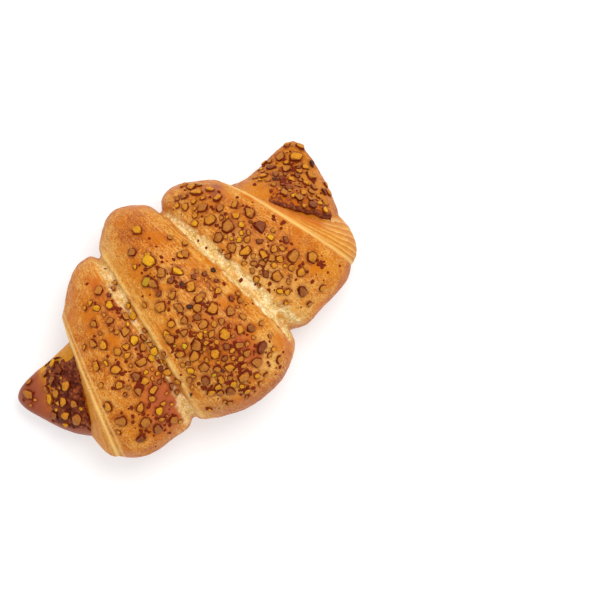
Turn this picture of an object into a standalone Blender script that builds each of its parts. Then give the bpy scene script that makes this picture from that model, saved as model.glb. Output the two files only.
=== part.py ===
"""Pistachio croissant: a rolled, laminated pastry with chopped nuts baked onto it and a nut filling
that runs through the roll and shows at both horns.

Metres, +Z up, +X along the roll towards its pointed horn, +Y towards the hollow side of the crescent.
The origin is under the middle of the croissant, on the surface it rests on.

The pastry is one loft along a bent spine. Every turn of the rolled dough is a pillow: a stretch of the
spine with its own half-width, rounded off at both edges. The skin follows the pillow that stands furthest
out. Angles round a section start at the hollow side: 90 degrees is up and 180 is the bulging side.
"""

import math
import random
from typing import NamedTuple

import bmesh
import bpy
import numpy as np
from mathutils import Matrix, Vector, noise

MM = 0.001
GOLDEN_ANGLE = math.pi * (3 - math.sqrt(5))

# Places along the roll, measured from the blunt horn's nose
LEFT_LIP = 29 * MM
LEFT_BELLY = 49 * MM
LEFT_CREASE = 59.5 * MM
RIGHT_CREASE = 93.3 * MM
RIGHT_BELLY = 107 * MM
RIGHT_LIP = 124 * MM
ROLL_LENGTH = 159 * MM

# Where the outer turns of dough end and start under the middle one
LEFT_TURN_END = 66 * MM
RIGHT_TURN_START = 88 * MM

# Round the section: how high it stands for its half-width, on the thick turns and on slender stretches
HEIGHT_TO_HALF_WIDTH = 1.1
SLENDER_HEIGHT_TO_HALF_WIDTH = 1.4
SLENDER_HALF_WIDTH, THICK_HALF_WIDTH = 12 * MM, 44 * MM
WIDEST_LEVEL = 0.45
SECTION_POWER = 2.25
UNDERSIDE_DEPTH = 1.24

# Horns stop short of the surface, and the skin is uneven
NOSE_LIFT = 7 * MM
NOSE_REACH = 13 * MM
LUMP_HEIGHT = 0.9 * MM
LUMP_LENGTH = 17 * MM

# Filling: a core through the roll, a tongue on the blunt horn and a slit below the pointed horn
CORE_HALF_WIDTH = 7 * MM
CORE_HALF_HEIGHT = 5.5 * MM
CORE_LEVEL = 22 * MM
TONGUE_START = 8.5 * MM
TONGUE_NOSE = 12 * MM
TONGUE_HALF_WIDTH = 14 * MM
TONGUE_PROUD = 1.3 * MM
SLIT_END = 138.5 * MM
SLIT_NOSE = 5 * MM
SLIT_HALF_WIDTH = 13 * MM
SLIT_SIDE = -3 * MM
SLIT_HALF_HEIGHT = 3.5 * MM
SLIT_PROUD = 1.3 * MM
HORN_TO_CORE = 14 * MM
FILLING_LUMP_HEIGHT = 0.9 * MM
FILLING_LUMP_LENGTH = 5 * MM
CLEARANCE = 0.35 * MM

# Chopped nuts
NUT_SEED = 4
NUT_SMALLEST = 1.5 * MM
NUT_LARGEST = 6 * MM
NUT_SMALLEST_SOLID = 2.9 * MM
NUT_SIZE_SPREAD = (1.7, 2.6)
NUT_WIDTHS, NUT_THICKNESSES = (0.68, 0.95), (0.5, 0.72)
NUT_CORNERS = 11
NUT_UNEVENNESS = 0.22
NUT_LIFT = 0.1
NUT_TILT = 0.4
NUT_SPACING = 0.56
NUT_REACH = 0.6
NUT_TRIES = 12
NUT_LOWEST_DEGREES = 22

# Mesh fineness
PASTRY_ROWS, PASTRY_COLUMNS = 68, 36
FILLING_ROWS, FILLING_COLUMNS = 34, 16
TOP_SHARE = 0.66
STATION_STEPS = 2000
NOSE_CROWDING, NOSE_CROWDING_REACH = 5, 2.5 * MM
EDGE_CROWDING, EDGE_CROWDING_REACH = 1.6, 3.5 * MM
EVEN_ROWS_SHARE = 0.65


class Station(NamedTuple):
    """A point of the spine: its distance along the roll, its place and its section's facing in degrees."""

    along: float
    x: float
    y: float
    facing: float


SPINE = (
    Station(0, -69.2 * MM, 21.6 * MM, -38),
    Station(LEFT_LIP, -46.8 * MM, 4.6 * MM, -22.5),
    Station(LEFT_BELLY, -27.8 * MM, 4.3 * MM, -17),
    Station(LEFT_CREASE, -17.4 * MM, 2.6 * MM, -13.5),
    Station(RIGHT_CREASE, 16.4 * MM, -0.6 * MM, 1.7),
    Station(RIGHT_BELLY, 30 * MM, 0.2 * MM, 6.5),
    Station(RIGHT_LIP, 46.7 * MM, -2.6 * MM, 13.3),
    Station(ROLL_LENGTH, 72 * MM, 17.4 * MM, 44),
)


class Turn(NamedTuple):
    """One turn of the rolled dough: where it starts and ends, its half-widths at the start, middle and
    end, and how far its rounded lips reach past it on the hollow side and on the bulging side."""

    start: float
    end: float
    half_start: float
    half_middle: float
    half_end: float
    lip_back: float
    lip_front: float


TURNS = (
    Turn(LEFT_LIP, LEFT_TURN_END, 28 * MM, 37 * MM, 32 * MM, 1.5 * MM, 8 * MM),
    Turn(LEFT_CREASE, RIGHT_CREASE, 37 * MM, 44.4 * MM, 38 * MM, 2 * MM, 5 * MM),
    Turn(RIGHT_TURN_START, RIGHT_LIP, 31 * MM, 36 * MM, 30 * MM, 1.5 * MM, 16 * MM),
)


class Crease(NamedTuple):
    """A groove beside the outermost turn, where the crust tore and the crumb shows."""

    place: float
    depth: float
    reach: float


CREASES = (
    Crease(LEFT_CREASE - 2.4 * MM, 1.8 * MM, 1.7 * MM),
    Crease(RIGHT_CREASE + 2.8 * MM, 2.2 * MM, 2.5 * MM),
)


class Horn(NamedTuple):
    """A bare end of the roll: its length up to the first turn, half-width there and bluntness."""

    length: float
    half_root: float
    bluntness: float


BLUNT_HORN = Horn(LEFT_LIP, 20 * MM, 0.62)
POINTED_HORN = Horn(ROLL_LENGTH - RIGHT_LIP, 26 * MM, 0.74)


class Drift(NamedTuple):
    """A drift of nuts: how many, the stretch of the roll it keeps to, its middle and spread along the
    roll, and its middle and spread round it in degrees."""

    count: int
    first: float
    last: float
    along: float
    along_spread: float
    degrees: float
    degrees_spread: float


PASTRY_DRIFTS = (
    Drift(46, LEFT_LIP + 1 * MM, LEFT_CREASE - 4 * MM, 46 * MM, 5 * MM, 112, 24),
    Drift(62, LEFT_CREASE, RIGHT_CREASE, 76 * MM, 7 * MM, 122, 22),
    Drift(16, LEFT_CREASE, RIGHT_CREASE, 75 * MM, 7.5 * MM, 80, 20),
    Drift(54, RIGHT_CREASE + 5 * MM, RIGHT_LIP - 3 * MM, 108 * MM, 6 * MM, 82, 26),
    Drift(26, SLIT_END + 1 * MM, ROLL_LENGTH, 147 * MM, 5 * MM, 90, 24),
    Drift(5, 1 * MM, TONGUE_START, 6 * MM, 1.5 * MM, 90, 22),
)
FILLING_DRIFT = Drift(24, TONGUE_START + 4 * MM, LEFT_LIP - 5 * MM, 17 * MM, 3.5 * MM, 88, 14)


class Nut(NamedTuple):
    """A chip of nut: its size, the seed of its shape, the point it lies on and the way out there."""

    size: float
    seed: int
    spot: Vector
    outward: Vector


def smooth(low, high, value):
    """0 below low, 1 above high and an even ease between."""
    share = np.clip((value - low) / (high - low), 0, 1)
    return share * share * (3 - 2 * share)


def through(places, values, at):
    """A smooth curve that takes the given values at the given places."""
    places, values = np.array(places), np.array(values)
    slopes = np.gradient(values, places)
    before = np.clip(np.searchsorted(places, at) - 1, 0, len(places) - 2)
    step = places[before + 1] - places[before]
    share = (at - places[before]) / step
    left = 1 - share
    return (
        left * left * ((1 + 2 * share) * values[before] + share * step * slopes[before])
        + share * share * ((1 + 2 * left) * values[before + 1] - left * step * slopes[before + 1])
    )


def frame_at(along):
    """Centre, sideways direction and nose lift of the section at a distance along the roll."""
    places, xs, ys, facings = zip(*SPINE, strict=True)
    facing = np.radians(through(places, facings, along))
    from_nose = np.minimum(along, ROLL_LENGTH - along)
    lift = NOSE_LIFT * (1 - smooth(0, NOSE_REACH, from_nose))
    return through(places, xs, along), through(places, ys, along), -np.sin(facing), np.cos(facing), lift


def turn_half_width(turn, along, frontness):
    """Half-width of one turn of dough, which falls to nothing past its rounded lips."""
    share = np.clip((along - turn.start) / (turn.end - turn.start), 0, 1)
    body = (
        turn.half_start * (1 - share) * (1 - 2 * share)
        + turn.half_middle * 4 * share * (1 - share)
        + turn.half_end * share * (2 * share - 1)
    )
    lip = turn.lip_back + (turn.lip_front - turn.lip_back) * frontness**1.5
    past = np.maximum(turn.start - along, along - turn.end)
    return body * np.sqrt(np.clip(1 - np.clip(past / lip, 0, 1) ** 2, 0, 1))


def horn_half_width(along):
    """Half-width of the bare roll, which narrows to a nose at each end."""
    horns = ((BLUNT_HORN, along), (POINTED_HORN, ROLL_LENGTH - along))
    blunt, pointed = (
        horn.half_root * np.clip(from_nose / horn.length, 0, 1) ** horn.bluntness
        for horn, from_nose in horns
    )
    return np.where(along < ROLL_LENGTH / 2, blunt, pointed)


def half_width(along, angle):
    """Half-width of the skin at a distance along the roll and an angle round it."""
    frontness = (1 - np.cos(angle)) / 2
    found = horn_half_width(along)
    for turn in TURNS:
        found = np.maximum(found, turn_half_width(turn, along, frontness))
    for crease in CREASES:
        found = found - crease.depth * np.exp(-(((along - crease.place) / crease.reach) ** 2))
    return found


def height_ratio(half):
    """Height of a section for its half-width, which is more on slender stretches."""
    thickness = smooth(SLENDER_HALF_WIDTH, THICK_HALF_WIDTH, half)
    return SLENDER_HEIGHT_TO_HALF_WIDTH + (HEIGHT_TO_HALF_WIDTH - SLENDER_HEIGHT_TO_HALF_WIDTH) * thickness


def lumps(x, y, z, length, height):
    """Uneven growth of the dough at each point, as a push outwards."""
    return np.array(
        [height * noise.noise(Vector(point) / length) for point in zip(x, y, z, strict=True)]
    )


def section(cosine, sine):
    """The rounded section's sideways and upright shares, for a half-width and a height of 1."""
    power = 2 / SECTION_POWER
    side = np.sign(cosine) * np.abs(cosine) ** power
    top = (1 - WIDEST_LEVEL) * np.abs(sine) ** power
    under = -UNDERSIDE_DEPTH * WIDEST_LEVEL * np.abs(sine) ** power
    return side, np.where(sine > 0, top, under)


def skin(along, angle):
    """Points of the pastry's skin, from arrays of distances along the roll and angles round it."""
    half = half_width(along, angle)
    ratio = height_ratio(half)
    x, y, side_x, side_y, lift = frame_at(along)
    across, upright = section(np.cos(angle), np.sin(angle))
    upright = upright * ratio
    level = ratio * WIDEST_LEVEL * half + lift
    swell = lumps(
        x + side_x * across * half, y + side_y * across * half, level + upright * half,
        LUMP_LENGTH, LUMP_HEIGHT,
    )
    swollen = half + swell * smooth(0, SLENDER_HALF_WIDTH, half)
    points_x = x + side_x * across * swollen
    points_y = y + side_y * across * swollen
    points_z = np.maximum(level + upright * swollen, 0)
    return np.stack([points_x, points_y, points_z], axis=1)


def stations(count):
    """Distances along the roll, one for each row, closer together near noses, lips and creases."""
    along = np.linspace(0, ROLL_LENGTH, STATION_STEPS)
    from_nose = np.minimum(along, ROLL_LENGTH - along)
    density = 1 + NOSE_CROWDING * np.exp(-from_nose / NOSE_CROWDING_REACH)
    for place in (LEFT_LIP, LEFT_CREASE, RIGHT_CREASE, RIGHT_LIP):
        density = density + EDGE_CROWDING * np.exp(-(((along - place) / EDGE_CROWDING_REACH) ** 2))
    total = np.concatenate([[0], np.cumsum((density[1:] + density[:-1]) / 2)])
    return np.interp(np.linspace(0, 1, count + 1), total / total[-1], along)


def round_angles(share):
    """Angles round the section for shares of a whole turn, with most of the columns over the top."""
    return np.where(
        share < TOP_SHARE,
        math.pi * share / TOP_SHARE,
        math.pi + math.pi * (share - TOP_SHARE) / (1 - TOP_SHARE),
    )


def ball_shares(mesh):
    """For each point of a unit ball, its share of the way from pole to pole and of the way round."""
    points = np.array([vertex.co for vertex in mesh.verts], float)
    down = np.arccos(np.clip(points[:, 2], -1, 1)) / math.pi
    turn = np.arctan2(points[:, 1], points[:, 0]) / (2 * math.pi)
    return down, np.mod(turn + 1e-6, 1)


def shaped_ball(name, columns, rows, place):
    """A ball whose rows and columns are moved to where the function place puts them."""
    mesh = bmesh.new()
    bmesh.ops.create_uvsphere(mesh, u_segments=columns, v_segments=rows, radius=1)
    for vertex, point in zip(mesh.verts, place(*ball_shares(mesh)), strict=True):
        vertex.co = point
    if mesh.calc_volume(signed=True) < 0:
        bmesh.ops.reverse_faces(mesh, faces=mesh.faces)
    return object_from(name, mesh)


def object_from(name, mesh):
    """A new object that takes over a bmesh."""
    data = bpy.data.meshes.new(name)
    mesh.to_mesh(data)
    mesh.free()
    return bpy.data.objects.new(name, data)


def pastry_place(down, turn):
    """Places a ball's points on the pastry's skin."""
    along = np.interp(down, np.linspace(0, 1, PASTRY_ROWS + 1), stations(PASTRY_ROWS))
    return skin(along, round_angles(turn))


def horn_crest(along):
    """Height of the bare horns' crest, also where turns of dough cover them."""
    half = horn_half_width(along)
    return height_ratio(half) * half + frame_at(along)[4]


def filling_section(along):
    """Half-width, half-height, sideways place and height of the filling at distances along the roll."""
    tongue = 1 - smooth(LEFT_LIP, LEFT_LIP + HORN_TO_CORE, along)
    slit = smooth(RIGHT_LIP - HORN_TO_CORE, RIGHT_LIP, along)
    core = 1 - tongue - slit
    half = TONGUE_HALF_WIDTH * tongue + SLIT_HALF_WIDTH * slit + CORE_HALF_WIDTH * core
    tall = CORE_HALF_HEIGHT * (tongue + core) + SLIT_HALF_HEIGHT * slit
    level = (
        (horn_crest(along) + TONGUE_PROUD - CORE_HALF_HEIGHT) * tongue
        + (horn_crest(along) + SLIT_PROUD - SLIT_HALF_HEIGHT) * slit
        + CORE_LEVEL * core
    )
    return half, tall, SLIT_SIDE * slit, level


def rounded_end(distance, length):
    """How a quarter ellipse rises from 0 at the end to 1 at its length."""
    return np.sqrt(np.clip(1 - (1 - np.clip(distance / length, 0, 1)) ** 2, 0, 1))


def filling_skin(along, angle, extra=0.0):
    """Points of the filling's surface, grown by extra in every direction."""
    half, tall, side, level = filling_section(along)
    taper = rounded_end(along - TONGUE_START, TONGUE_NOSE) * rounded_end(SLIT_END - along, SLIT_NOSE)
    x, y, side_x, side_y, _ = frame_at(along)
    across = side + np.cos(angle) * (half * taper + extra * np.sqrt(taper))
    upright = np.sin(angle) * (tall * taper + extra * np.sqrt(taper))
    points_x, points_y, points_z = x + side_x * across, y + side_y * across, level + upright
    swell = lumps(points_x, points_y, points_z, FILLING_LUMP_LENGTH, FILLING_LUMP_HEIGHT)
    return np.stack([points_x, points_y, points_z + swell * taper * np.sin(angle)], axis=1)


def filling_place(extra):
    """A function that places a ball's points on the filling's surface, grown by extra."""

    def place(down, turn):
        rounded = (1 - np.cos(math.pi * down)) / 2
        share = EVEN_ROWS_SHARE * down + (1 - EVEN_ROWS_SHARE) * rounded
        along = TONGUE_START - extra + (SLIT_END - TONGUE_START + 2 * extra) * share
        return filling_skin(along, turn * 2 * math.pi, extra)

    return place


def resting_frame(surface, along, angle):
    """The point of a surface function at a place along the roll and round it, and the way out there."""
    step, turn = 0.4 * MM, 0.02
    here, ahead, beside = surface(
        np.array([along, along + step, along]), np.array([angle, angle, angle + turn])
    )
    outward = Vector(np.cross(beside - here, ahead - here)).normalized()
    return Vector(here), outward if outward.z > 0 else -outward


def draw_nuts(drift, surface, draw):
    """Random nuts of one drift, from the largest down, none on top of another."""
    kept = []
    shares = sorted((draw.betavariate(*NUT_SIZE_SPREAD) for _ in range(drift.count)), reverse=True)
    for share in shares:
        size = NUT_SMALLEST + (NUT_LARGEST - NUT_SMALLEST) * share
        for _ in range(NUT_TRIES):
            along = draw.gauss(drift.along, drift.along_spread)
            degrees = draw.gauss(drift.degrees, drift.degrees_spread)
            seed = draw.randrange(10**6)
            reach = NUT_REACH * size
            if not drift.first + reach < along < drift.last - reach:
                continue
            if abs(degrees - 90) > 90 - NUT_LOWEST_DEGREES:
                continue
            nut = Nut(size, seed, *resting_frame(surface, along, math.radians(degrees)))
            if all((nut.spot - other.spot).length > NUT_SPACING * (size + other.size) for other in kept):
                kept.append(nut)
                break
    return kept


def nut_object(name, nut):
    """An angular chip of nut: the convex hull of random corners on an uneven ellipsoid."""
    draw = random.Random(nut.seed)
    radii = Vector((1, draw.uniform(*NUT_WIDTHS), draw.uniform(*NUT_THICKNESSES))) * nut.size / 2
    mesh = bmesh.new()
    for corner in range(NUT_CORNERS):
        height = 1 - (2 * corner + 1) / NUT_CORNERS
        ring = math.sqrt(1 - height * height)
        turn = corner * GOLDEN_ANGLE
        way = Vector((ring * math.cos(turn), ring * math.sin(turn), height))
        way += Vector([draw.gauss(0, NUT_UNEVENNESS) for _ in range(3)])
        mesh.verts.new(way.normalized() * radii)
    bmesh.ops.convex_hull(mesh, input=mesh.verts)
    inside = [vertex for vertex in mesh.verts if not vertex.link_faces]
    bmesh.ops.delete(mesh, geom=inside, context="VERTS")
    bmesh.ops.recalc_face_normals(mesh, faces=mesh.faces)
    chip = object_from(name, mesh)
    tilt = Matrix.Rotation(draw.uniform(-NUT_TILT, NUT_TILT), 4, "X")
    spin = Matrix.Rotation(draw.uniform(0, 2 * math.pi), 4, "Z")
    place = Matrix.Translation(nut.spot + nut.outward * nut.size * NUT_LIFT)
    chip.matrix_world = place @ nut.outward.to_track_quat("Z", "Y").to_matrix().to_4x4() @ tilt @ spin
    return chip


def material(name, colour, roughness):
    """A plain Principled material."""
    made = bpy.data.materials.new(name)
    made.use_nodes = True
    shader = made.node_tree.nodes["Principled BSDF"]
    shader.inputs["Base Color"].default_value = (*colour, 1)
    shader.inputs["Roughness"].default_value = roughness
    shader.inputs["Metallic"].default_value = 0
    return made


def collection(name, hidden=False):
    """A new collection in the scene."""
    made = bpy.data.collections.new(name)
    bpy.context.scene.collection.children.link(made)
    made.hide_render = hidden
    return made


def apply_boolean(obj, operation, cutter=None, group=None, solver="EXACT"):
    """Gives an object a Boolean, then makes its result the object's own mesh."""
    modifier = obj.modifiers.new(operation.title(), "BOOLEAN")
    modifier.operation = operation
    modifier.solver = solver
    if group:
        modifier.operand_type = "COLLECTION"
        modifier.collection = group
    else:
        modifier.object = cutter
    bpy.context.view_layer.update()
    evaluated = obj.evaluated_get(bpy.context.evaluated_depsgraph_get())
    result = bpy.data.meshes.new_from_object(evaluated)
    obj.modifiers.clear()
    obj.data = result


def drop_loose_scraps(obj):
    """Keeps only the largest of the bodies that a mesh falls into."""
    mesh = bmesh.new()
    mesh.from_mesh(obj.data)
    unseen, bodies = set(mesh.verts), []
    while unseen:
        body, edge = set(), [unseen.pop()]
        while edge:
            vertex = edge.pop()
            body.add(vertex)
            for link in vertex.link_edges:
                other = link.other_vert(vertex)
                if other in unseen:
                    unseen.remove(other)
                    edge.append(other)
        bodies.append(body)
    largest = max(bodies, key=len)
    scraps = [vertex for vertex in mesh.verts if vertex not in largest]
    bmesh.ops.delete(mesh, geom=scraps, context="VERTS")
    mesh.to_mesh(obj.data)
    mesh.free()


def fuse_nuts(obj, nuts):
    """Joins nuts to the object they lie on, as one solid."""
    group = collection(f"{obj.name}_nuts")
    for number, nut in enumerate(nuts):
        group.objects.link(nut_object(f"{obj.name}_nut_{number:03d}", nut))
    apply_boolean(obj, "UNION", group=group, solver="MANIFOLD")
    for chip in list(group.objects):
        bpy.data.objects.remove(chip)
    bpy.data.collections.remove(group)
    drop_loose_scraps(obj)


def solid_nuts(drifts, surface, draw):
    """The nuts of some drifts that are large enough to be part of the solids."""
    return [
        nut for drift in drifts for nut in draw_nuts(drift, surface, draw) if nut.size > NUT_SMALLEST_SOLID
    ]


def plan_middle(obj):
    """The middle of an object's outline seen from above."""
    corners = np.array([vertex.co for vertex in obj.data.vertices])
    x, y, _ = (corners.min(axis=0) + corners.max(axis=0)) / 2
    return Vector((x, y, 0))


def main():
    for obj in list(bpy.data.objects):
        bpy.data.objects.remove(obj)
    croissant = collection("pistachio_croissant")
    cutters = collection("cutters", hidden=True)

    pastry = shaped_ball("pastry", PASTRY_COLUMNS, PASTRY_ROWS, pastry_place)
    filling = shaped_ball("filling", FILLING_COLUMNS, FILLING_ROWS, filling_place(0))
    cutter = shaped_ball("filling_cutter", FILLING_COLUMNS, FILLING_ROWS, filling_place(CLEARANCE))
    cutter.hide_render = True
    cutter.display_type = "WIRE"
    croissant.objects.link(pastry)
    croissant.objects.link(filling)
    cutters.objects.link(cutter)
    middle = plan_middle(pastry)

    apply_boolean(pastry, "DIFFERENCE", cutter=cutter)
    draw = random.Random(NUT_SEED)
    fuse_nuts(pastry, solid_nuts(PASTRY_DRIFTS, skin, draw))
    fuse_nuts(filling, solid_nuts((FILLING_DRIFT,), filling_skin, draw))

    for obj in (pastry, filling, cutter):
        obj.data.transform(Matrix.Translation(-middle))
        obj.data.materials.clear()
    pastry.data.materials.append(material("baked_crust", (0.55, 0.21, 0.05), 0.5))
    filling.data.materials.append(material("baked_filling", (0.2, 0.06, 0.02), 0.6))


main()
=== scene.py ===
"""Looks of the pistachio croissant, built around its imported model.

Metres, +Z up, +X along the roll towards its pointed horn, +Y towards the hollow side of the crescent.
A place on the croissant is its distance along the roll, measured from the blunt horn's nose, and its
angle round the section: 0 is the hollow side, 90 degrees is up and 180 is the bulging side.
"""

import math
import random
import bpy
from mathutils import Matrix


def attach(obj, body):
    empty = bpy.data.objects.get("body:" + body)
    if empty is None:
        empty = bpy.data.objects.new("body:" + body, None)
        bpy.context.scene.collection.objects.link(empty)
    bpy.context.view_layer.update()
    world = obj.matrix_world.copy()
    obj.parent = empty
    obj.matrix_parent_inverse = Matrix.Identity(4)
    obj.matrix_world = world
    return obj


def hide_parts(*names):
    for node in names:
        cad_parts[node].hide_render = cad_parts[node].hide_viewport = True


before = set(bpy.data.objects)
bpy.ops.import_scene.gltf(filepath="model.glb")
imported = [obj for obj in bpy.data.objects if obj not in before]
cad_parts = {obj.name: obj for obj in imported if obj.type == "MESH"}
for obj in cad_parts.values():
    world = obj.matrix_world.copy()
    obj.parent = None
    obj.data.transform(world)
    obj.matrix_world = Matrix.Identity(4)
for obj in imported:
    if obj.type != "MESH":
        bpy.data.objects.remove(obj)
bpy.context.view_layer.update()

from types import SimpleNamespace
from typing import NamedTuple

import bmesh
import bpy
import numpy as np
from mathutils import Matrix, Vector, kdtree, noise

MM = 0.001
GOLDEN_ANGLE = math.pi * (3 - math.sqrt(5))

# The model's own form: places along the roll
LEFT_LIP = 29 * MM
LEFT_BELLY = 49 * MM
LEFT_CREASE = 59.5 * MM
RIGHT_CREASE = 93.3 * MM
RIGHT_BELLY = 107 * MM
RIGHT_LIP = 124 * MM
ROLL_LENGTH = 159 * MM
LEFT_TURN_END = 66 * MM
RIGHT_TURN_START = 88 * MM

# The model's own form: sections, horns and lumps
HEIGHT_TO_HALF_WIDTH = 1.1
SLENDER_HEIGHT_TO_HALF_WIDTH = 1.4
SLENDER_HALF_WIDTH, THICK_HALF_WIDTH = 12 * MM, 44 * MM
WIDEST_LEVEL = 0.45
SECTION_POWER = 2.25
UNDERSIDE_DEPTH = 1.24
NOSE_LIFT = 7 * MM
NOSE_REACH = 13 * MM
LUMP_HEIGHT = 0.9 * MM
LUMP_LENGTH = 17 * MM

# The model's own form: filling
CORE_HALF_WIDTH = 7 * MM
CORE_HALF_HEIGHT = 5.5 * MM
CORE_LEVEL = 22 * MM
TONGUE_START = 8.5 * MM
TONGUE_NOSE = 12 * MM
TONGUE_HALF_WIDTH = 14 * MM
TONGUE_PROUD = 1.3 * MM
SLIT_END = 138.5 * MM
SLIT_NOSE = 5 * MM
SLIT_HALF_WIDTH = 13 * MM
SLIT_SIDE = -3 * MM
SLIT_HALF_HEIGHT = 3.5 * MM
SLIT_PROUD = 1.3 * MM
HORN_TO_CORE = 14 * MM
FILLING_LUMP_HEIGHT = 0.9 * MM
FILLING_LUMP_LENGTH = 5 * MM

# The model's own form: chopped nuts
NUT_SEED = 4
NUT_SMALLEST = 1.5 * MM
NUT_LARGEST = 6 * MM
NUT_SIZE_SPREAD = (1.7, 2.6)
NUT_WIDTHS, NUT_THICKNESSES = (0.68, 0.95), (0.5, 0.72)
NUT_CORNERS = 11
NUT_UNEVENNESS = 0.22
NUT_LIFT = 0.1
NUT_TILT = 0.4
NUT_SPACING = 0.56
NUT_REACH = 0.6
NUT_TRIES = 12
NUT_LOWEST_DEGREES = 22

# Mesh fineness
CRUST_ROWS, CRUST_COLUMNS = 396, 240
PLAN_ROWS, PLAN_COLUMNS = 68, 36
PLAN_TOP_SHARE = 0.66
TOP_SHARE = 0.82
STATION_STEPS = 2000
NOSE_CROWDING, NOSE_CROWDING_REACH = 5, 2.5 * MM
EDGE_CROWDING, EDGE_CROWDING_REACH = 1.6, 3.5 * MM
FILLING_ROWS, FILLING_COLUMNS = 190, 120

# Crust: the slit's rolled edge, the lips' layers, the sugar stain and painted shade round the nuts, and the
# direction of streaks
SLIT_COVERED = 129.4 * MM
SLIT_SLANT = 3.4 * MM
SLIT_OPEN = 1.5 * MM
SLIT_ROLL, SLIT_ROLL_REACH = 2.0 * MM, 1.6 * MM
ROOT_HALF_WIDTH = 22 * MM
LEFT_LAYERS, RIGHT_LAYERS = 5, 9
LEFT_LIP_SHARE = 0.5
STAIN_AND_SHADE_REACH = 1.3 * MM
FLOW_RADIUS = 35 * MM
FLOW_STRETCH = 0.12

# Crust: middles of the tears and of the pale ridge in mm from the crease beside them, and their ease
# and reach
LEFT_TEAR, RIGHT_TEAR, TEAR_EASE = -2.9, 3.0, 0.45
RIDGE, RIDGE_REACH = 0.2, 0.8

# Crust: eased limits round the section in degrees, and along the roll
CRUMB_BAND = (14, 34, 160, 176)
RIDGE_BAND = (14, 34, 165, 180)
UNDERSIDE_BAND = (178, 205, 335, 362)
SLIT_BAND = (50, 70, 112, 130)
POINTED_TOP_BAND = (20, 45, 130, 160)
BULGING_EASE = (106, 138)
OUTWARD_WANDER = 14
TIP_EASE, TIP_WANDER = (8 * MM, 13 * MM), 2 * MM
NOSE_EASE = 4 * MM

# Crust: relief in mm
STREAK_HEIGHT, GRAIN_HEIGHT = 0.16, 0.07
RIDGE_HEIGHT, LAYER_HEIGHT, ROLL_HEIGHT = 0.35, 0.12, 0.6
CRUMB_DEPTH = 0.2

# Crust: how browned it is, from 0 to 1, and what its regions add
CRUST_BASE = 0.48
STREAK_BAKE, CREASE_BAKE = 0.12, -0.22
BLUNT_HORN_BAKE, POINTED_HORN_BAKE = 0.3, 0.14
UNDERSIDE_BAKE, BULGING_EDGE_BAKE, HOLLOW_EDGE_BAKE = 0.3, 0.14, 0.12

# Filling: what share of its rows lies up to which place, and where dough covers it
FILLING_VISIBLE = ((0, TONGUE_START), (0.46, 38 * MM), (0.58, 116 * MM), (1, SLIT_END))
PAST_MIDDLE = (100 * MM, 110 * MM)
DOUGH_BESIDE = 24.5 * MM
COVERED_DEPTH = 3.4 * MM

# Nuts: how the chips are rounded, and the dark rims round them on the crust, which are partly caramelised
# sugar and partly painted contact shadow
NUT_TOP = 0.19
NUT_ROUNDING = 0.06
NUT_FLATNESS = math.radians(14)
NUT_SPREAD = 1.12
DARK_LARGEST = 3.3 * MM
EDGE_SPREAD, EDGE_FLATTEN = 1.25, 0.42

# Nuts: smaller ones and flecks, which the solids leave out, and everything's tones
SMALLER_SEED = 12
SMALLER_LARGEST = 4.2 * MM
SMALLER_SPACING = 0.45
FLECK_SEED = 21
FLECK_SMALLEST, FLECK_LARGEST = 0.8 * MM, 2.3 * MM
FLECK_LOWEST_DEGREES = 15
FLECK_SMALLNESS, CLUMP_SMALLNESS = 1.6, 0.6
CLUMP_REACH, CLUMP_DEGREES = 0.8 * MM, 2.4
LOOK_SEED = 9

# Light and floor
KEY_DISTANCE, KEY_SIZE, KEY_POWER = 0.8, 0.45, 3.2
KEY_ELEVATION, KEY_TO_RIGHT = math.radians(70), math.radians(35)
KEY_COLOUR = (1.0, 0.985, 0.96)
SKY = 0.8
FLOOR_HALF = 3.0
FLOOR_COLOUR = (0.55, 0.55, 0.55)
FLOOR_GLOW = 0.5
FLOOR_GAP = 0.05 * MM

# Picture: the photograph is 600 pixels wide, and this spot of the model is at this pixel of it
PICTURE_WIDTH = 600
PIXELS_PER_METRE = 2700
SPOT = Vector((0, 0, 0.022))
SPOT_PIXEL = Vector((191, 302))
CAMERA_AZIMUTH, CAMERA_ELEVATION = -45, 85
CAMERA_LENS, CAMERA_SENSOR = 200, 36


class Station(NamedTuple):
    """A point of the spine: its distance along the roll, its place and its section's facing in degrees."""

    along: float
    x: float
    y: float
    facing: float


SPINE = (
    Station(0, -69.2 * MM, 21.6 * MM, -38),
    Station(LEFT_LIP, -46.8 * MM, 4.6 * MM, -22.5),
    Station(LEFT_BELLY, -27.8 * MM, 4.3 * MM, -17),
    Station(LEFT_CREASE, -17.4 * MM, 2.6 * MM, -13.5),
    Station(RIGHT_CREASE, 16.4 * MM, -0.6 * MM, 1.7),
    Station(RIGHT_BELLY, 30 * MM, 0.2 * MM, 6.5),
    Station(RIGHT_LIP, 46.7 * MM, -2.6 * MM, 13.3),
    Station(ROLL_LENGTH, 72 * MM, 17.4 * MM, 44),
)


class Turn(NamedTuple):
    """One turn of the rolled dough: where it starts and ends, its half-widths at the start, middle and
    end, and how far its rounded lips reach past it on the hollow side and on the bulging side."""

    start: float
    end: float
    half_start: float
    half_middle: float
    half_end: float
    lip_back: float
    lip_front: float


LEFT_TURN = Turn(LEFT_LIP, LEFT_TURN_END, 28 * MM, 37 * MM, 32 * MM, 1.5 * MM, 8 * MM)
MIDDLE_TURN = Turn(LEFT_CREASE, RIGHT_CREASE, 37 * MM, 44.4 * MM, 38 * MM, 2 * MM, 5 * MM)
RIGHT_TURN = Turn(RIGHT_TURN_START, RIGHT_LIP, 31 * MM, 36 * MM, 30 * MM, 1.5 * MM, 16 * MM)
TURNS = (LEFT_TURN, MIDDLE_TURN, RIGHT_TURN)


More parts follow.
